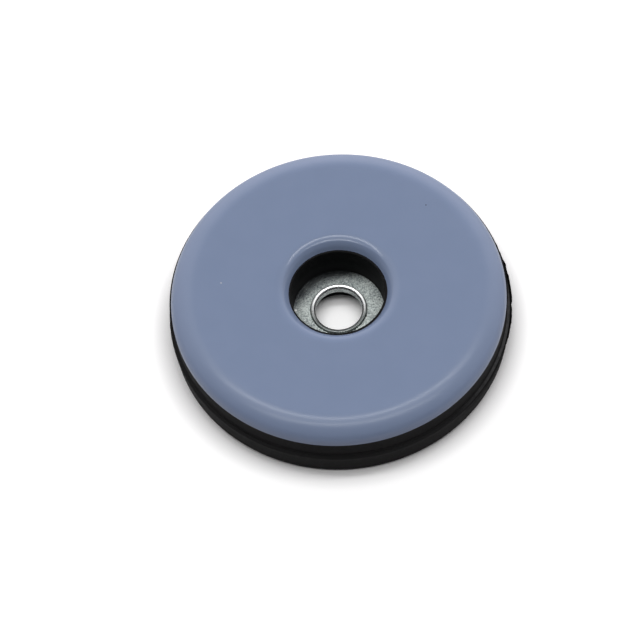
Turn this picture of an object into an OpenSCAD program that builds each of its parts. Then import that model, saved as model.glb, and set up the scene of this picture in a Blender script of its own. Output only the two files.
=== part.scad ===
// Screw-on furniture glide: a PTFE running face bonded over a moulded rubber disc, with a
// steel washer moulded into the rubber that the head of the fixing screw bears on.
// It lies on its mounting face, with the running face up and the screw hole on the Z axis.

/* [Disc] */
// Diameter at the lip of the running face
disc_d = 30; // [20:0.5:60]
// Height from the mounting face to the running face
total_h = 6; // [5:0.1:10]

/* [Running face] */
// Thickness of the PTFE sheet
face_t = 0.85; // [0.7:0.05:1.3]
// Depth of the formed edge, from the running face down to its lip
lip_h = 1.6; // [1.3:0.1:2]
// Width of the rounded outer edge, seen from above
edge_run = 2.3; // [1.8:0.1:5]
// Radius of the tight arc that ends the rounded edge at the lip
edge_r = 1.25; // [0.6:0.05:1.5]
// Step by which the lip stands out from the rubber below it
lip_step = 0.04; // [0:0.01:0.1]

/* [Mouth of the recess] */
// Radius of the wide arc that starts the mouth
mouth_wide_r = 2; // [1.2:0.1:3]
// Angle that the wide arc turns through
mouth_wide_turn = 23; // [10:1:25]
// Radius of the tight arc that turns the mouth down
mouth_tight_r = 0.35; // [0.2:0.05:0.8]
// Slope where the tight arc ends, from the horizontal
mouth_tight_slope = 38; // [30:1:45]
// Radius of the arc below it, which steepens towards the rubber
mouth_deep_r = 1.7; // [1:0.1:2]
// Slope of the mouth below the arcs, from the horizontal
mouth_slope = 58; // [50:1:64]
// Distance by which the PTFE stands back from the edge of the rubber wall
mouth_back = 0.18; // [0:0.01:0.3]

/* [Recess for the screw head] */
// Diameter of the recess at the washer
recess_d = 8.15; // [7:0.05:10.5]
// Draft of the rubber wall, as the angle that it leans outwards
recess_draft = 2.5; // [0:0.25:5]

/* [Washer] */
// Outside diameter of the washer
washer_d = 12; // [11:0.5:18]
// Thickness of the washer
washer_t = 0.5; // [0.4:0.05:1]
// Rubber between the washer and the mounting face
pad_t = 1.6; // [1:0.05:2]
// Diameter of the screw hole
screw_hole_d = 4.2; // [3.2:0.1:5.2]
// Radius of the rim that the punch rolled up round the screw hole, which is its height too
rim_r = 0.3; // [0.2:0.01:0.35]
// Width of the flat on top of the rim
rim_flat = 0.02; // [0.01:0.01:0.1]
// Radius of the rim's outer edge
rim_edge_r = 0.08; // [0.05:0.01:0.1]
// Radius of the fillet between the rim and the washer
rim_fillet_r = 0.1; // [0.05:0.01:0.1]
// Radius of the edges that the stamping left on the washer
stamped_r = 0.1; // [0.05:0.01:0.15]

/* [Rubber body] */
// Diameter of the clearance hole through the rubber under the washer
pad_hole_d = 5.6; // [5.2:0.1:8]
// Height of the mould parting line
parting_h = 2.6; // [1.5:0.1:3.2]
// Step by which the lower half stands out at the parting line
parting_step = 0.3; // [0.3:0.05:0.6]
// Radius of the step's outer edge
parting_r = 0.15; // [0.05:0.01:0.18]
// Radius of the fillet in the step's inner corner
parting_fillet_r = 0.1; // [0.05:0.01:0.12]
// Draft of the lower half, as the angle that it leans in towards the mounting face
base_draft = 5; // [0:0.5:8]
// Radius of the edge round the mounting face
base_r = 0.4; // [0.3:0.05:1.2]

/* [Hidden] */
$fn = 128;

disc_r = disc_d / 2;
lip_z = total_h - lip_h;
sheet_z = total_h - face_t;
edge_x = disc_r - edge_run;

washer_r = washer_d / 2;
washer_z = pad_t;
seat_z = pad_t + washer_t;
hole_r = screw_hole_d / 2;
rim_x = hole_r + rim_r;
rim_side_x = rim_x + rim_flat + rim_edge_r;

recess_r = recess_d / 2;
wall_r = recess_r + (sheet_z - seat_z) * tan(recess_draft);
mouth_r = wall_r + mouth_back;

// The bonded side follows the outer side of the sheet, and never closes to a sharp corner
sharpest_r = 0.1;
bond_run = edge_run - face_t;
bond_drop = lip_h - face_t;
bond_r = max(edge_r - face_t, sharpest_r);

// The mouth, measured towards the axis from the edge of the flat face and up from the rubber.
// Its slope starts a hair inside the deep arc, so that the two cross and never just touch
meet = 0.001;
wide_y = face_t - mouth_wide_r;
tight_x = (mouth_wide_r - mouth_tight_r) * sin(mouth_wide_turn);
tight_y = wide_y + (mouth_wide_r - mouth_tight_r) * cos(mouth_wide_turn);
deep_x = tight_x - (mouth_deep_r - mouth_tight_r) * sin(mouth_tight_slope);
deep_y = tight_y - (mouth_deep_r - mouth_tight_r) * cos(mouth_tight_slope);
slope_r = mouth_deep_r - meet;
slope_x = deep_x + slope_r * sin(mouth_slope);
slope_y = deep_y + slope_r * cos(mouth_slope);
mouth_run = slope_x + slope_y / tan(mouth_slope);

body_r = disc_r - lip_step;
ledge_r = body_r + parting_step;
over = 1;
lap = 0.05;
lap_turn = 5;

// Centres of the lower half's two rounded edges, whose drafted wall runs tangent into both
ledge_x = ledge_r - parting_r * (1 + sin(base_draft)) / cos(base_draft);
base_x = ledge_r - (base_r + (parting_h - base_r) * sin(base_draft)) / cos(base_draft);

// Fillet of radius r in the corner between a level line and an upright line to its left.
// It laps into both sides of the corner
module fillet(r) {
    difference() {
        translate([-lap, -lap]) square(r + lap);
        translate([r, r]) circle(r);
    }
}

// Sector of a circle between two angles, measured from +Y towards +X
module sector(r, from, to) {
    reach = 1.05 * r / cos((to - from) / 2);
    intersection() {
        circle(r);
        polygon([[0, 0],
                 [reach * sin(from), reach * cos(from)],
                 [reach * sin(to), reach * cos(to)]]);
    }
}

// Section of a rounded edge, from a level top at the left to an upright side at the right:
// a wide arc runs tangent into a tight one
module rolled_edge(run, drop, tight_r) {
    turn = 2 * atan((drop - tight_r) / (run - tight_r));
    wide_r = tight_r + (run - tight_r) / sin(turn);
    intersection() {
        square([run + over, drop + over]);
        union() {
            translate([0, drop - wide_r]) sector(wide_r, 0, turn);
            translate([run - tight_r, 0]) circle(tight_r);
        }
    }
}

// Section of the sheet at the mouth: wide, tight and deep arcs, then a straight slope to the rubber
module mouth_edge() {
    intersection() {
        square([mouth_run + over, face_t + over]);
        union() {
            translate([0, wide_y]) sector(mouth_wide_r, 0, mouth_wide_turn);
            translate([tight_x, tight_y]) circle(mouth_tight_r);
            translate([deep_x, deep_y]) sector(mouth_deep_r, mouth_tight_slope, mouth_slope + lap_turn);
            polygon([[0, -over], [0, tight_y], [tight_x, tight_y],
                     [slope_x, slope_y], [mouth_run, 0], [mouth_run, -over]]);
        }
    }
}

// Section of the rubber under the sheet, which the bonded side of the PTFE repeats
module bonded_shoulder() {
    translate([edge_x, lip_z]) rolled_edge(bond_run, bond_drop, bond_r);
}

// Running face: one formed sheet with a rounded lip outside and a countersunk mouth inside
module ptfe_face() {
    mouth_x = mouth_r + mouth_run;
    color([0.49, 0.54, 0.65])
    rotate_extrude() {
        translate([mouth_x, sheet_z]) mirror([1, 0]) mouth_edge();
        translate([mouth_x, sheet_z]) square([edge_x - mouth_x, face_t]);
        // Core of the flat, which laps into the mouth and the rounded edge
        translate([mouth_x - lap, sheet_z]) square([edge_x - mouth_x + 2 * lap, face_t - lap]);
        difference() {
            translate([edge_x, lip_z]) rolled_edge(edge_run, lip_h, edge_r);
            bonded_shoulder();
        }
    }
}

// Half section of the rubber below the parting line: a drafted wall between two rounded edges
module lower_half() {
    wall_x = cos(base_draft);
    wall_y = sin(base_draft);
    polygon([[0, 0], [base_x, 0],
             [base_x + (base_r - meet) * wall_x, base_r - (base_r - meet) * wall_y],
             [ledge_x + (parting_r - meet) * wall_x, parting_h - parting_r - (parting_r - meet) * wall_y],
             [ledge_x, parting_h], [0, parting_h]]);
    translate([base_x, base_r]) circle(base_r);
    translate([ledge_x, parting_h - parting_r]) circle(parting_r);
}

// Half section of the rubber disc with its shoulder, upright wall and parting step
module rubber_outline() {
    lower_half();
    translate([0, parting_h - lap]) square([body_r, lip_z - parting_h + lap]);
    translate([body_r, parting_h]) fillet(parting_fillet_r);
    translate([0, parting_h]) square([edge_x, sheet_z - parting_h]);
    bonded_shoulder();
}

// Body: one moulding, open through the middle, with the washer's pocket in its hub
module rubber_body() {
    color([0.09, 0.09, 0.09])
    rotate_extrude()
    difference() {
        rubber_outline();
        polygon([[0, seat_z], [recess_r, seat_z],
                 [wall_r, sheet_z], [wall_r, sheet_z + over], [0, sheet_z + over]]);
        translate([0, washer_z]) square([washer_r, washer_t]);
        translate([0, -over]) square([pad_hole_d / 2, washer_z + 2 * over]);
    }
}

// Rim round the screw hole, rolled on the side of the hole and steep on the outer side
module rim_outline() {
    side_h = washer_t + rim_r - rim_edge_r;
    intersection() {
        translate([rim_x, seat_z]) circle(rim_r);
        translate([hole_r - over, washer_z]) square([over + rim_r + rim_flat / 2, washer_t + over]);
    }
    translate([rim_x, washer_z]) square([rim_flat, washer_t + rim_r]);
    translate([rim_x, washer_z]) square([rim_side_x - rim_x, side_h]);
    translate([rim_x + rim_flat, washer_z + side_h]) circle(rim_edge_r);
    translate([rim_side_x, seat_z]) fillet(rim_fillet_r);
}

// Washer: a stamped ring whose hole has a rolled rim on the side of the screw head
module steel_washer() {
    color([0.66, 0.67, 0.68])
    rotate_extrude() {
        translate([rim_x, washer_z]) square([washer_r - rim_x, washer_t]);
        rim_outline();
        translate([hole_r, washer_z + stamped_r]) square([rim_r, washer_t - stamped_r]);
        translate([hole_r + stamped_r, washer_z]) square([rim_r, washer_t]);
        translate([hole_r + stamped_r, washer_z + stamped_r]) circle(stamped_r);
    }
}

ptfe_face();
rubber_body();
steel_washer();
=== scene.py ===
"""Screw-on furniture glide: the visual model round its CAD frame, on a pale floor in soft light.

Lengths are in millimetres until a mesh is made. Sections are lists of (radius, height) points.
"""

import math

import bmesh
import bpy
from mathutils import Matrix, Vector, noise


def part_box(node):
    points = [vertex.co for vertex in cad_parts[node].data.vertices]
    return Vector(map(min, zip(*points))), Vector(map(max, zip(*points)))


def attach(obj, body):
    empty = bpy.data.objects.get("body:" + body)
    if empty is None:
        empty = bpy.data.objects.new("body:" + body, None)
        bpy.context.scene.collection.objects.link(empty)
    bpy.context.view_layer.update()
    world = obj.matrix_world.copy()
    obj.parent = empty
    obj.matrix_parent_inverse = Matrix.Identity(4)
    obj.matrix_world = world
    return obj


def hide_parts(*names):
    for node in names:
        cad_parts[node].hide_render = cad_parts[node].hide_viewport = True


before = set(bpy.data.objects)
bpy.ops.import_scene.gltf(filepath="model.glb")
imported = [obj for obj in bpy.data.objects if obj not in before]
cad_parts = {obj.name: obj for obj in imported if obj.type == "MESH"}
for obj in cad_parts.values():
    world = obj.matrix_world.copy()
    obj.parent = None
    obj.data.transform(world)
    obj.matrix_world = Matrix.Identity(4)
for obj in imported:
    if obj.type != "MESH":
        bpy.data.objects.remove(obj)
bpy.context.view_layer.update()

MM = 0.001
FINE = 320
SHARP_ANGLE = math.radians(35)


def node_box(node):
    """Lowest and highest corner of a CAD node, in millimetres."""
    return tuple(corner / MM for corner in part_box(node))


face_lo, face_hi = node_box("ptfe_face")
rubber_lo, rubber_hi = node_box("rubber_body")
washer_lo, washer_hi = node_box("steel_washer")

# Running face
DISC_R = face_hi.x
TOP_Z = face_hi.z
LIP_Z = face_lo.z
SHEET_Z = rubber_hi.z
FACE_T = TOP_Z - SHEET_Z
EDGE_RUN = 2.3
EDGE_R = 1.25
EDGE_X = DISC_R - EDGE_RUN

# Washer
WASHER_R = washer_hi.x
WASHER_Z = washer_lo.z
WASHER_T = 0.5
SEAT_Z = WASHER_Z + WASHER_T
HOLE_R = 2.1
RIM_R = 0.3
RIM_FLAT = 0.02
RIM_EDGE_R = 0.08
RIM_FILLET_R = 0.1
STAMPED_R = 0.1

# Recess and its mouth, with slopes in degrees from the horizontal
RECESS_R = 4.075
RECESS_DRAFT = math.radians(2.5)
WALL_R = RECESS_R + (SHEET_Z - SEAT_Z) * math.tan(RECESS_DRAFT)
MOUTH_BACK = 0.18
MOUTH_R = WALL_R + MOUTH_BACK
MOUTH_WIDE_R = 2.0
MOUTH_WIDE_SLOPE = 23
MOUTH_TIGHT_R = 0.35
MOUTH_TIGHT_SLOPE = 38
MOUTH_DEEP_R = 1.7
MOUTH_SLOPE = 58

# Rubber body
LIP_STEP = 0.04
BODY_R = DISC_R - LIP_STEP
PAD_HOLE_R = 2.8
PARTING_Z = 2.6
PARTING_R = 0.15
PARTING_FILLET_R = 0.1
BASE_DRAFT = math.radians(5)
BASE_R = 0.4
LEDGE_X = rubber_hi.x - PARTING_R
LEDGE_R = LEDGE_X + PARTING_R * (1 + math.sin(BASE_DRAFT)) / math.cos(BASE_DRAFT)
BASE_X = LEDGE_R - (BASE_R + (PARTING_Z - BASE_R) * math.sin(BASE_DRAFT)) / math.cos(BASE_DRAFT)

# How the part came out of its mould. The sheet is a little small and off centre, and so is its mouth
HAIR = 0.001
SHEET_SHIFT = Vector((0.055, -0.062, 0))
SHEET_SHORT = 0.07
MOUTH_SHIFT = Vector((0.045, 0, 0))

# The rubber has a bead under the lip, which fades out towards the front
BEAD_OUT = 0.17
BEAD_DEPTH = 0.45
BEAD_FADE = 0.4

# The lower half is shifted, the more the further out, and not at all inside the hub
MOULD_SHIFT = Vector((0.085, -0.085, 0))
HUB_R = PAD_HOLE_R + 1

# The flash was trimmed rough at the parting line. Angles are in degrees from +X
FLASH_OUT = 0.19
FLASH_GROWTH = 0.005
FLASH_ROUGH = 0.3
FLASH_DEPTH = 0.4
FLASH_MIDDLE = 12
FLASH_REACH = 37
FLASH_FADE = 8
LEDGE_ROUGH = 0.015
LUMPS = 22
NICKS = 70
NOTCH_AZIMUTH = -4.9
NOTCH_WIDTH = 0.6
NOTCH_DEPTH = 0.12

# Colours are linear. PTFE
PTFE_LIGHT = (0.211, 0.268, 0.400)
PTFE_DARK = (0.206, 0.263, 0.393)
PTFE_IOR = 1.38
PTFE_GRAIN = 0.003
FLAT_ROUGHNESS = 0.11
FORMED_ROUGHNESS = 0.225
FORMED_RADII = (11.0, 13.4)
MOTTLE_SIZE = 2.2
MOTTLE_RANGE = (0.35, 0.65)
POLISH_SIZE = 0.9
POLISH_RANGE = (0.3, 0.7)
POLISH_SPREAD = (0.94, 1.06)
SPECK_DARK = (0.03, 0.03, 0.035)
SPECK_PALE = (0.50, 0.52, 0.55)
PTFE_SPOTS = [
    ((-11.22, 9.26, 5.6), 0.14, SPECK_DARK),
    ((8.63, 7.75, 6.0), 0.07, SPECK_DARK),
    ((-10.21, 1.53, 6.0), 0.08, SPECK_PALE),
]

# Rubber
RUBBER_BLACK = (0.0070, 0.0070, 0.0073)
RUBBER_DUSTY = (0.0155, 0.0155, 0.016)
# Grey of the ledge at the right: blooming and a painted sheen
RUBBER_BLOOM_AND_SHEEN = (0.076, 0.076, 0.078)
# Near-black of the trimmed flash: its fresh edge and painted shade on its outer side
RUBBER_CUT_AND_SHADE = (0.001, 0.001, 0.001)
RUBBER_ROUGHNESS = 0.7
RUBBER_SPECULAR = 0.09
RUBBER_GRAIN = 0.012
DUST_SIZE = 0.5
DUST_RANGE = (0.5, 0.75)
BLOOM_AND_SHEEN_RANGE = (0.3, 0.6)
CUT_WIDTH = 0.08

# The grey of the ledge, blooming and painted sheen, and the near-black trimmed edge with its painted shade
# fade in towards +X
CUT_SIDE = (9.5, 13.5)
RUBBER_SPOTS = [((-3.44, 2.66, 4.5), 0.12, SPECK_PALE)]

# Zinc plating
ZINC_LIGHT = (0.66, 0.715, 0.69)
ZINC_DARK = (0.19, 0.22, 0.225)
# Painted highlight of the rim behind, also the colour of one pale nick, and painted shade of the rim in front
ZINC_HIGHLIGHT_AND_NICK = (0.93, 0.95, 0.94)
ZINC_RIM_PAINTED_SHADE = (0.22, 0.24, 0.235)
ZINC_STAIN = (0.05, 0.05, 0.052)
# Painted shade and a painted reflection of the black wall, near that wall
ZINC_PAINTED_SHADE = (0.10, 0.11, 0.125)
ZINC_GRAIN = 0.02
CRYSTAL_SIZE = 0.15
CRYSTAL_SHARE = 0.8
PATCH_SIZE = 0.8
CLOUD_RANGE = (0.41, 0.57)
FROST_RANGE = (0.40, 0.60)
FROST_DULL = 0.55
FROST_BRIGHT = 0.42
RIM_POLISH = 0.6
RIM_SOFT = 0.08

# The plating has painted shade and a painted reflection of the black wall near the wall on one side, and the
# rim has a painted highlight behind and painted shade in front
PAINTED_SHADE_SIDE = (-0.42, 0.91, 0)
PAINTED_SHADE_REACH = (1.6, 3.0)
PAINTED_SHADE_RADII = (2.6, 3.6)
RIM_PAINTED_LIGHT_SPAN = (-1.2, 0.9)
# One pale nick, in the colour of the rim's painted highlight, and three dark stains
ZINC_SPOTS = [
    ((-3.85, 0.35, 2.1), 0.16, ZINC_HIGHLIGHT_AND_NICK),
    ((2.37, -0.90, 2.1), 0.10, ZINC_STAIN),
    ((1.27, -2.14, 2.1), 0.12, ZINC_STAIN),
    ((-0.52, -2.16, 2.1), 0.08, ZINC_STAIN),
]

# Floor, with a glow round the part and in the hole that only the camera sees
FLOOR_PALE = (0.67, 0.63, 0.65)
WHITE = (1, 1, 1)
FLOOR_HALF = 1.5
FLOOR_GLOW = 0.28
GLOW_REACH = 1.8
HOLE_GLOW = 0.25

# Strips of light overhead, in metres and degrees, and in the units of the background's strength
STRIP_DISTANCE = 1.0
STRIP_LENGTH = 1.20
STRIP_BACK = {"azimuth": 90, "elevation": 80.3, "depth": 0.12, "radiance": 6.4}
STRIP_FRONT = {"azimuth": 270, "elevation": 79.8, "depth": 0.11, "radiance": 5.8}

# Sky: walls that brighten along a direction, a ceiling, and two round patches
SKY_LEVEL = 0.53
SKY_LOW = (1.04, 0.98, 1.02)
SKY_HIGH = WHITE
WALL_LEVEL = 0.9
WALL_SLOPE = (0.35, 2.0, 0)
CEILING_LEVEL = 0.8
CEILING_POWER = 6
KEY_PATCH = {"azimuth": 155, "elevation": 55, "inner": 15, "outer": 40, "inside": 0.4, "outside": 0}
DARK_PATCH = {"azimuth": 80, "elevation": 52, "inner": 12, "outer": 28, "inside": 0.2, "outside": 1}


def arc(centre, radius, start, end, steps):
    """Points on an arc round centre, from one angle to another, in degrees from outwards to upwards."""
    points = []
    for i in range(steps + 1):
        angle = math.radians(start + (end - start) * i / steps)
        points.append((centre[0] + radius * math.cos(angle), centre[1] + radius * math.sin(angle)))
    return points


def line(start, end, steps):
    """Points between two ends, without the ends."""
    return [
        (start[0] + (end[0] - start[0]) * i / steps, start[1] + (end[1] - start[1]) * i / steps)
        for i in range(1, steps)
    ]


def rolled_edge(inner_r, low_z, run, drop, tight_r):
    """Rounded edge from a level top to an upright side: a wide arc that runs tangent into a tight one."""
    turn = 2 * math.atan((drop - tight_r) / (run - tight_r))
    wide_r = tight_r + (run - tight_r) / math.sin(turn)
    wide = arc((inner_r, low_z + drop - wide_r), wide_r, 90, 90 - math.degrees(turn), 20)
    tight = arc((inner_r + run - tight_r, low_z), tight_r, 90 - math.degrees(turn), 0, 20)
    return wide + tight[1:]


def on_slope(centre, radius, slope):
    """Point on a circle where its outline slopes down towards the axis by an angle in degrees."""
    angle = math.radians(slope)
    return (centre[0] - radius * math.sin(angle), centre[1] + radius * math.cos(angle))


def mouth_edge():
    """Countersunk mouth of the running face, from the rubber up to the flat: a slope and three arcs."""
    wide = (0, TOP_Z - MOUTH_WIDE_R)
    tight = on_slope(wide, MOUTH_WIDE_R - MOUTH_TIGHT_R, MOUTH_WIDE_SLOPE)
    deep = on_slope(tight, MOUTH_TIGHT_R - MOUTH_DEEP_R, MOUTH_TIGHT_SLOPE)
    slope_x, slope_z = on_slope(deep, MOUTH_DEEP_R, MOUTH_SLOPE)
    foot_x = slope_x - (slope_z - SHEET_Z) / math.tan(math.radians(MOUTH_SLOPE))
    foot = (foot_x, SHEET_Z)
    points = [foot] + line(foot, (slope_x, slope_z), 4)
    points += arc(deep, MOUTH_DEEP_R, 90 + MOUTH_SLOPE, 90 + MOUTH_TIGHT_SLOPE, 14)
    points += arc(tight, MOUTH_TIGHT_R, 90 + MOUTH_TIGHT_SLOPE, 90 + MOUTH_WIDE_SLOPE, 8)[1:]
    points += arc(wide, MOUTH_WIDE_R, 90 + MOUTH_WIDE_SLOPE, 90, 12)[1:]
    return [(MOUTH_R + x - foot_x, z) for x, z in points]


def bonded_edge():
    """Rounded edge of the rubber's shoulder, which the sheet's bonded side repeats."""
    return rolled_edge(EDGE_X, LIP_Z, EDGE_RUN - FACE_T, SHEET_Z - LIP_Z, EDGE_R - FACE_T)


def face_section():
    """Closed section of the running face."""
    mouth = mouth_edge()
    outer = rolled_edge(EDGE_X, LIP_Z, EDGE_RUN, TOP_Z - LIP_Z, EDGE_R)
    return mouth + line(mouth[-1], outer[0], 30) + outer + list(reversed(bonded_edge()))


def rubber_section():
    """Closed section of the rubber body."""
    shoulder = bonded_edge()
    seat = (RECESS_R, SEAT_Z)
    wall_top = (WALL_R, SHEET_Z)
    lip = (BODY_R, LIP_Z)
    draft = math.degrees(BASE_DRAFT)
    fillet = arc((BODY_R + PARTING_FILLET_R, PARTING_Z + PARTING_FILLET_R), PARTING_FILLET_R, 180, 270, 8)
    ledge = arc((LEDGE_X, PARTING_Z - PARTING_R), PARTING_R, 90, -draft, 10)
    foot = arc((BASE_X, BASE_R), BASE_R, -draft, -90, 14)
    pad_low = (PAD_HOLE_R, 0)
    pad_high = (PAD_HOLE_R, WASHER_Z)
    return (
        [pad_low] + line(pad_low, pad_high, 6) + [pad_high, (WASHER_R, WASHER_Z), (WASHER_R, SEAT_Z), seat]
        + line(seat, wall_top, 12) + [wall_top] + line(wall_top, shoulder[0], 4) + shoulder
        + line(shoulder[-1], lip, 3) + [lip] + line(lip, fillet[0], 12) + fillet
        + line(fillet[-1], ledge[0], 2) + ledge + line(ledge[-1], foot[0], 16) + foot
        + line(foot[-1], pad_low, 8)
    )


def washer_section():
    """Closed section of the washer, with the rim that the punch rolled up round its hole."""
    rim_x = HOLE_R + RIM_R
    side_x = rim_x + RIM_FLAT + RIM_EDGE_R
    fillet = arc((side_x + RIM_FILLET_R, SEAT_Z + RIM_FILLET_R), RIM_FILLET_R, 270, 180, 8)
    edge = arc((rim_x + RIM_FLAT, SEAT_Z + RIM_R - RIM_EDGE_R), RIM_EDGE_R, 0, 90, 8)
    rolled = arc((rim_x, SEAT_Z), RIM_R, 90, 180, 20)
    stamped = arc((HOLE_R + STAMPED_R, WASHER_Z + STAMPED_R), STAMPED_R, 180, 270, 6)
    outer = (WASHER_R, SEAT_Z)
    lower = (WASHER_R, WASHER_Z)
    return (
        [outer] + line(outer, fillet[0], 24) + fillet + edge + rolled
        + line(rolled[-1], stamped[0], 4) + stamped + line(stamped[-1], lower, 8) + [lower]
    )


def outwards_from_axis(point):
    """Radius of a point and the level direction from the axis to it."""
    radius = math.hypot(point.x, point.y)
    return radius, Vector((point.x, point.y, 0)) / radius


def formed(point):
    """Point of the sheet, or of the rubber bonded to it, where the forming left it."""
    radius, outwards = outwards_from_axis(point)
    if radius < MOUTH_R - HAIR:
        return point
    share = min(1, (radius - MOUTH_R) / (DISC_R - MOUTH_R))
    return point + (1 - share) * MOUTH_SHIFT + share * (SHEET_SHIFT - SHEET_SHORT * outwards)


def flash_width(outwards):
    """Width of the trimmed flash at the parting line, in a direction from the axis."""
    azimuth = math.degrees(math.atan2(outwards.y, outwards.x))
    rough = noise.noise(outwards * LUMPS) + 0.5 * noise.noise(outwards * NICKS)
    patch = min(1, max(0, (FLASH_REACH - abs(azimuth - FLASH_MIDDLE)) / FLASH_FADE))
    notch = math.exp(-(((azimuth - NOTCH_AZIMUTH) / NOTCH_WIDTH) ** 2))
    width = FLASH_OUT + FLASH_GROWTH * azimuth
    return width * patch * (1 + FLASH_ROUGH * rough) + LEDGE_ROUGH * rough - NOTCH_DEPTH * notch


def bead_width(outwards, height):
    """Width of the bead that the rubber pushed out under the lip, at the sides and behind."""
    share = min(1, max(0, outwards.y / BEAD_FADE + 1))
    return share * BEAD_OUT * math.exp(-(((LIP_Z - height) / BEAD_DEPTH) ** 2))


def moulded(point):
    """Rubber point where the mould left it, with the bead above the parting line and the flash at it."""
    radius, outwards = outwards_from_axis(point)
    if radius < HUB_R:
        return point
    if point.z > PARTING_Z + PARTING_FILLET_R:
        bead = bead_width(outwards, point.z) if radius > BODY_R - HAIR else 0
        return formed(point) + bead * outwards
    share = (radius - PAD_HOLE_R) / (LEDGE_R - PAD_HOLE_R)
    moved = point + share * MOULD_SHIFT
    if radius < BODY_R + PARTING_FILLET_R:
        return moved
    near_ledge = min(1, max(0, 1.5 - (PARTING_Z - point.z) / FLASH_DEPTH))
    return moved + flash_width(outwards) * near_ledge * outwards


def lathe(name, section, shift=None):
    """Solid of revolution from a closed section, whose points shift moves to where the mould left them."""
    mesh = bpy.data.meshes.new(name)
    bm = bmesh.new()
    rings = []
    for i in range(FINE):
        azimuth = 2 * math.pi * i / FINE
        ring = []
        for radius, height in section:
            point = Vector((radius * math.cos(azimuth), radius * math.sin(azimuth), height))
            ring.append(bm.verts.new((shift(point) if shift else point) * MM))
        rings.append(ring)
    for i, ring in enumerate(rings):
        after = rings[(i + 1) % FINE]
        for j in range(len(section)):
            k = (j + 1) % len(section)
            bm.faces.new((ring[j], after[j], after[k], ring[k]))
    bmesh.ops.recalc_face_normals(bm, faces=bm.faces)
    bm.to_mesh(mesh)
    bm.free()
    mesh.polygons.foreach_set("use_smooth", [True] * len(mesh.polygons))
    mesh.set_sharp_from_angle(angle=SHARP_ANGLE)
    piece = bpy.data.objects.new(name, mesh)
    bpy.context.scene.collection.objects.link(piece)
    return piece


def new_material(name):
    """Node material with a Principled shader: returns the material, its node tree and the shader."""
    material = bpy.data.materials.new(name)
    material.use_nodes = True
    tree = material.node_tree
    return material, tree, tree.nodes["Principled BSDF"]


def object_place(tree):
    """Place on the object, in millimetres, as a socket."""
    place = tree.nodes.new("ShaderNodeTexCoord")
    scale = tree.nodes.new("ShaderNodeVectorMath")
    scale.operation = "SCALE"
    scale.inputs["Scale"].default_value = 1 / MM
    tree.links.new(place.outputs["Object"], scale.inputs[0])
    return scale.outputs[0]


def from_axis(tree, place):
    """Distance of a place from the axis, in millimetres, as a socket."""
    level = tree.nodes.new("ShaderNodeVectorMath")
    level.operation = "MULTIPLY"
    level.inputs[1].default_value = (1, 1, 0)
    tree.links.new(place, level.inputs[0])
    length = tree.nodes.new("ShaderNodeVectorMath")
    length.operation = "LENGTH"
    tree.links.new(level.outputs[0], length.inputs[0])
    return length.outputs["Value"]


def grain(tree, place, size, detail=3, roughness=0.5, distortion=0):
    """Noise whose patches are about size millimetres across, as a socket from 0 to 1."""
    texture = tree.nodes.new("ShaderNodeTexNoise")
    texture.inputs["Scale"].default_value = 1 / size
    texture.inputs["Detail"].default_value = detail
    texture.inputs["Roughness"].default_value = roughness
    texture.inputs["Distortion"].default_value = distortion
    tree.links.new(place, texture.inputs["Vector"])
    return texture.outputs["Fac"]


def spread(tree, value, low, high, to_low, to_high):
    """Value mapped from one range to another and held inside it, as a socket."""
    mapper = tree.nodes.new("ShaderNodeMapRange")
    for name, number in (("From Min", low), ("From Max", high), ("To Min", to_low), ("To Max", to_high)):
        mapper.inputs[name].default_value = number
    tree.links.new(value, mapper.inputs["Value"])
    return mapper.outputs["Result"]


def blend_colours(tree, factor, first, second):
    """Mix of two colours, each a colour or a socket, as a socket."""
    mixer = tree.nodes.new("ShaderNodeMix")
    mixer.data_type = "RGBA"
    tree.links.new(factor, mixer.inputs["Factor"])
    for name, colour in (("A", first), ("B", second)):
        socket = next(i for i in mixer.inputs if i.name == name and i.type == "RGBA")
        if isinstance(colour, tuple):
            socket.default_value = (*colour, 1)
        else:
            tree.links.new(colour, socket)
    return next(o for o in mixer.outputs if o.type == "RGBA")


def combine(tree, operation, first, second):
    """Arithmetic on two values, each a number or a socket, as a socket."""
    node = tree.nodes.new("ShaderNodeMath")
    node.operation = operation
    for socket, value in zip(node.inputs, (first, second)):
        if isinstance(value, (int, float)):
            socket.default_value = value
        else:
            tree.links.new(value, socket)
    return node.outputs[0]


def along(tree, place, axis):
    """How far a place or direction reaches along an axis, as a socket."""
    product = tree.nodes.new("ShaderNodeVectorMath")
    product.operation = "DOT_PRODUCT"
    product.inputs[1].default_value = axis
    tree.links.new(place, product.inputs[0])
    return product.outputs["Value"]


def height_band(tree, place, low, high, soft):
    """Band of heights on the object, in millimetres, as a socket that is 1 between low and high."""
    height = along(tree, place, (0, 0, 1))
    above = spread(tree, height, low - soft, low, 0, 1)
    below = spread(tree, height, high, high + soft, 1, 0)
    return combine(tree, "MULTIPLY", above, below)


def bump(tree, shader, height, depth, strength=1):
    """Relief of the given depth in millimetres on the shader's normal."""
    node = tree.nodes.new("ShaderNodeBump")
    node.inputs["Strength"].default_value = strength
    node.inputs["Distance"].default_value = depth * MM
    tree.links.new(height, node.inputs["Height"])
    tree.links.new(node.outputs["Normal"], shader.inputs["Normal"])


def fade(tree, place, centre, core, reach):
    """Round patch about a point on the object, as a socket from 1 inside core to 0 at reach."""
    distance = tree.nodes.new("ShaderNodeVectorMath")
    distance.operation = "DISTANCE"
    distance.inputs[1].default_value = centre
    tree.links.new(place, distance.inputs[0])
    return spread(tree, distance.outputs["Value"], core, reach, 1, 0)


def add_spots(tree, place, colour, spots):
    """Small marks of the given colours, each (centre, radius, mark), over a colour socket."""
    for centre, radius, mark in spots:
        colour = blend_colours(tree, fade(tree, place, centre, 0.6 * radius, radius), colour, mark)
    return colour


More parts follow.
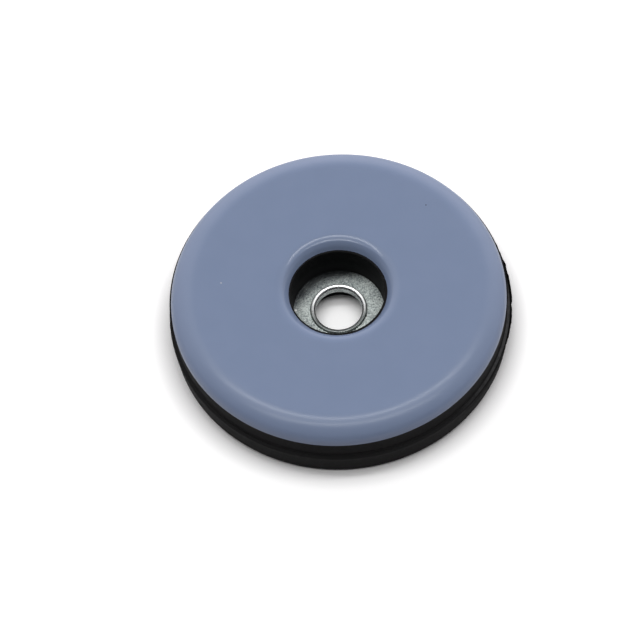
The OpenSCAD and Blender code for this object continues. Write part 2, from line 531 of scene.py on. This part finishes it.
def ptfe_material():
    """Blue-grey PTFE: satin, glossier on the flat than on the formed edge, with a few specks of dirt."""
    material, tree, shader = new_material("ptfe")
    place = object_place(tree)
    mottle = grain(tree, place, MOTTLE_SIZE, detail=4)
    colour = blend_colours(tree, spread(tree, mottle, *MOTTLE_RANGE, 0, 1), PTFE_DARK, PTFE_LIGHT)
    colour = add_spots(tree, place, colour, PTFE_SPOTS)
    tree.links.new(colour, shader.inputs["Base Color"])
    polish = spread(tree, grain(tree, place, POLISH_SIZE), *POLISH_RANGE, *POLISH_SPREAD)
    distance = from_axis(tree, place)
    formed_edge = spread(tree, distance, *FORMED_RADII, FLAT_ROUGHNESS, FORMED_ROUGHNESS)
    tree.links.new(combine(tree, "MULTIPLY", polish, formed_edge), shader.inputs["Roughness"])
    shader.inputs["IOR"].default_value = PTFE_IOR
    bump(tree, shader, grain(tree, place, 0.12, detail=5), PTFE_GRAIN)
    return material


def rubber_material():
    """Black moulded rubber: matte and finely grained, with a parting line whose ledge is painted grey, for
    blooming of the rubber and a painted sheen, and whose freshly trimmed flash is painted near-black, with
    painted shade, both towards +X."""
    material, tree, shader = new_material("rubber")
    place = object_place(tree)
    dust = grain(tree, place, DUST_SIZE, detail=6, roughness=0.7)
    colour = blend_colours(tree, spread(tree, dust, *DUST_RANGE, 0, 1), RUBBER_BLACK, RUBBER_DUSTY)
    # The wall just above the parting line is lighter, in the dusty colour
    corner = height_band(tree, place, PARTING_Z + 0.03, PARTING_Z + 0.5, 0.6)
    colour = blend_colours(tree, corner, colour, RUBBER_DUSTY)
    right = spread(tree, along(tree, place, (1, 0, 0)), *CUT_SIDE, 0, 1)
    flash = spread(tree, from_axis(tree, place), LEDGE_R, LEDGE_R + CUT_WIDTH, 0, 1)
    ledge = height_band(tree, place, PARTING_Z - 0.08, PARTING_Z + 0.06, 0.03)
    ledge = combine(tree, "MULTIPLY", ledge, right)
    ledge = combine(tree, "MULTIPLY", ledge, combine(tree, "SUBTRACT", 1, flash))
    # The ledge at the right is painted grey, for blooming and a painted sheen where the sky reflects in it
    bloom_and_sheen = combine(tree, "MULTIPLY", ledge, spread(tree, dust, *BLOOM_AND_SHEEN_RANGE, 0.3, 1))
    colour = blend_colours(tree, bloom_and_sheen, colour, RUBBER_BLOOM_AND_SHEEN)
    # The trimmed flash edge at the right is painted near-black, for its fresh surface and painted shade as it
    # faces down and out
    cut_and_shade = combine(tree, "MULTIPLY", flash, right)
    colour = blend_colours(tree, cut_and_shade, colour, RUBBER_CUT_AND_SHADE)
    colour = add_spots(tree, place, colour, RUBBER_SPOTS)
    tree.links.new(colour, shader.inputs["Base Color"])
    tree.links.new(spread(tree, cut_and_shade, 0, 1, RUBBER_ROUGHNESS, 1), shader.inputs["Roughness"])
    shader.inputs["Specular IOR Level"].default_value = RUBBER_SPECULAR
    bump(tree, shader, grain(tree, place, 0.1, detail=5), RUBBER_GRAIN)
    return material


def zinc_cloud(tree, place):
    """Fine crystals of the plating, and the same crystals over larger patches, as two sockets."""
    crystals = grain(tree, place, CRYSTAL_SIZE, detail=6, roughness=0.7, distortion=0.6)
    patches = grain(tree, place, PATCH_SIZE, detail=2)
    fine = combine(tree, "MULTIPLY", crystals, CRYSTAL_SHARE)
    coarse = combine(tree, "MULTIPLY", patches, 1 - CRYSTAL_SHARE)
    return crystals, combine(tree, "ADD", fine, coarse)


def zinc_painted_shade(tree, place, cloud):
    """Painted shade and a painted reflection of the black wall: darker plating near the wall at the back
    left, broken up by the crystals, as a socket.
    """
    side = spread(tree, along(tree, place, PAINTED_SHADE_SIDE), *PAINTED_SHADE_REACH, 0, 1)
    near_wall = spread(tree, from_axis(tree, place), *PAINTED_SHADE_RADII, 0.2, 1)
    shade = combine(tree, "MULTIPLY", side, near_wall)
    return combine(tree, "MULTIPLY", shade, spread(tree, cloud, 0.38, 0.6, 1, 0.55))


def zinc_rim(tree, place):
    """Rolled rim round the screw hole, as a socket."""
    rim_edge = HOLE_R + RIM_R + RIM_FLAT
    inside = spread(tree, from_axis(tree, place), rim_edge, rim_edge + RIM_SOFT, 1, 0)
    return combine(tree, "MULTIPLY", inside, height_band(tree, place, SEAT_Z + 0.1, SEAT_Z + 1, 0.1))


def zinc_material():
    """Bright zinc plating on steel: mottled crystals, a side with painted shade, a few marks and a polished
    rim with a painted highlight behind and painted shade in front.
    """
    material, tree, shader = new_material("zinc_plated_steel")
    place = object_place(tree)
    crystals, cloud = zinc_cloud(tree, place)
    shade = zinc_painted_shade(tree, place, cloud)
    on_rim = zinc_rim(tree, place)
    colour = blend_colours(tree, spread(tree, cloud, *CLOUD_RANGE, 0, 1), ZINC_DARK, ZINC_LIGHT)
    # Painted shade and a painted reflection of the black wall, at the back left near the wall
    colour = blend_colours(tree, shade, colour, ZINC_PAINTED_SHADE)
    # The rim has a painted highlight behind and painted shade in front
    behind = spread(tree, along(tree, place, (0, 1, 0)), *RIM_PAINTED_LIGHT_SPAN, 0, 1)
    colour = blend_colours(tree, on_rim, colour, blend_colours(tree, behind, ZINC_RIM_PAINTED_SHADE, ZINC_HIGHLIGHT_AND_NICK))
    colour = add_spots(tree, place, colour, ZINC_SPOTS)
    tree.links.new(colour, shader.inputs["Base Color"])
    shader.inputs["Metallic"].default_value = 1
    frost = spread(tree, cloud, *FROST_RANGE, FROST_DULL, FROST_BRIGHT)
    frost = combine(tree, "SUBTRACT", frost, combine(tree, "MULTIPLY", shade, 0.3))
    frost = combine(tree, "MULTIPLY", frost, spread(tree, on_rim, 0, 1, 1, RIM_POLISH))
    tree.links.new(frost, shader.inputs["Roughness"])
    pits = combine(tree, "MULTIPLY", crystals, spread(tree, on_rim, 0, 1, 1, 0.15))
    bump(tree, shader, pits, ZINC_GRAIN, 0.6)
    return material


def make_piece(name, section, material, node, shift=None):
    """One piece of the glide that stands for its CAD node."""
    piece = lathe(name, section, shift)
    piece.data.materials.append(material)
    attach(piece, "root")
    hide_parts(node)
    return piece


def make_camera():
    """Camera at the height, turn and roll that the glide is seen at."""
    elevation = math.radians(59.70)
    roll = math.radians(-5.14)
    aim = Vector((-1.763, -1.416, 3.0)) * MM
    distance = 267.15 * MM
    data = bpy.data.cameras.new("camera")
    data.sensor_width = 36
    data.lens = 168.75
    data.clip_start = 0.01
    data.clip_end = 10
    camera = bpy.data.objects.new("camera", data)
    bpy.context.scene.collection.objects.link(camera)
    turn = Matrix.Rotation(math.pi / 2 - elevation, 4, "X") @ Matrix.Rotation(roll, 4, "Z")
    camera.matrix_world = Matrix.Translation(aim) @ turn @ Matrix.Translation((0, 0, distance))
    bpy.context.scene.camera = camera


def make_floor():
    """Pale floor that keeps the shadow and is white to the camera and in reflections."""
    mesh = bpy.data.meshes.new("floor")
    corners = [(x * FLOOR_HALF, y * FLOOR_HALF, 0) for x, y in ((-1, -1), (1, -1), (1, 1), (-1, 1))]
    mesh.from_pydata(corners, [], [(0, 1, 2, 3)])
    floor = bpy.data.objects.new("floor", mesh)
    bpy.context.scene.collection.objects.link(floor)
    material, tree, shader = new_material("floor")
    shader.inputs["Roughness"].default_value = 0.9
    shader.inputs["Specular IOR Level"].default_value = 0
    rays = tree.nodes.new("ShaderNodeLightPath").outputs
    seen = rays["Is Camera Ray"]
    seen_or_mirrored = combine(tree, "MAXIMUM", seen, rays["Is Glossy Ray"])
    tree.links.new(blend_colours(tree, seen_or_mirrored, FLOOR_PALE, WHITE), shader.inputs["Base Color"])
    distance = from_axis(tree, object_place(tree))
    round_part = spread(tree, distance, LEDGE_R, LEDGE_R + GLOW_REACH, 0, FLOOR_GLOW)
    in_hole = spread(tree, distance, 0.4 * PAD_HOLE_R, PAD_HOLE_R, HOLE_GLOW, 0)
    glow = combine(tree, "ADD", round_part, in_hole)
    shader.inputs["Emission Color"].default_value = (*WHITE, 1)
    tree.links.new(combine(tree, "MULTIPLY", seen, glow), shader.inputs["Emission Strength"])
    mesh.materials.append(material)


def toward(azimuth, elevation):
    """Direction from the glide; azimuth 0 is +X and 90 is behind it, in degrees."""
    a, e = math.radians(azimuth), math.radians(elevation)
    return Vector((math.cos(a) * math.cos(e), math.sin(a) * math.cos(e), math.sin(e)))


def strip_light(name, azimuth, elevation, depth, radiance):
    """Long soft light with rounded ends that points at the glide."""
    data = bpy.data.lights.new(name, "AREA")
    data.shape = "ELLIPSE"
    data.size = STRIP_LENGTH
    data.size_y = depth
    data.energy = radiance * math.pi * (math.pi / 4 * STRIP_LENGTH * depth)
    light = bpy.data.objects.new(name, data)
    bpy.context.scene.collection.objects.link(light)
    direction = toward(azimuth, elevation)
    light.location = direction * STRIP_DISTANCE
    light.rotation_mode = "QUATERNION"
    light.rotation_quaternion = direction.to_track_quat("Z", "Y")
    light.visible_camera = False


def patch(tree, direction, azimuth, elevation, inner, outer, inside, outside):
    """Level inside a round patch of the sky that turns into another level outside it, as a socket."""
    cosine = along(tree, direction, toward(azimuth, elevation))
    return spread(tree, cosine, math.cos(math.radians(outer)), math.cos(math.radians(inner)), outside, inside)


def sky_level(tree, direction, height):
    """Brightness of the room in a direction, as a socket."""
    walls = combine(tree, "ADD", along(tree, direction, WALL_SLOPE), WALL_LEVEL)
    walls = combine(tree, "MAXIMUM", walls, 0)
    ceiling = combine(tree, "MULTIPLY", combine(tree, "POWER", height, CEILING_POWER), CEILING_LEVEL)
    level = combine(tree, "ADD", combine(tree, "ADD", walls, ceiling), patch(tree, direction, **KEY_PATCH))
    level = combine(tree, "MULTIPLY", level, patch(tree, direction, **DARK_PATCH))
    return combine(tree, "MULTIPLY", level, SKY_LEVEL)


def make_sky():
    """Room of soft light: bright behind and overhead, dim towards the camera, and white to the camera."""
    world = bpy.data.worlds.new("world")
    world.use_nodes = True
    tree = world.node_tree
    direction = tree.nodes.new("ShaderNodeTexCoord").outputs["Generated"]
    height = combine(tree, "MAXIMUM", along(tree, direction, (0, 0, 1)), 0)
    seen = tree.nodes.new("ShaderNodeLightPath").outputs["Is Camera Ray"]
    mixer = tree.nodes.new("ShaderNodeMix")
    mixer.inputs["B"].default_value = 1
    tree.links.new(seen, mixer.inputs["Factor"])
    tree.links.new(sky_level(tree, direction, height), mixer.inputs["A"])
    tint = blend_colours(tree, height, SKY_LOW, SKY_HIGH)
    sky = tree.nodes["Background"]
    tree.links.new(blend_colours(tree, seen, tint, WHITE), sky.inputs["Color"])
    tree.links.new(mixer.outputs["Result"], sky.inputs["Strength"])
    bpy.context.scene.world = world


def make_lights():
    """Two strips overhead, with a gap between them, in a room of soft light."""
    strip_light("strip_back", **STRIP_BACK)
    strip_light("strip_front", **STRIP_FRONT)
    make_sky()


make_camera()
make_floor()
make_lights()
make_piece("ptfe_sheet", face_section(), ptfe_material(), "ptfe_face", formed)
make_piece("rubber_disc", rubber_section(), rubber_material(), "rubber_body", moulded)
make_piece("zinc_washer", washer_section(), zinc_material(), "steel_washer")
bpy.context.scene.view_settings.view_transform = "Standard"
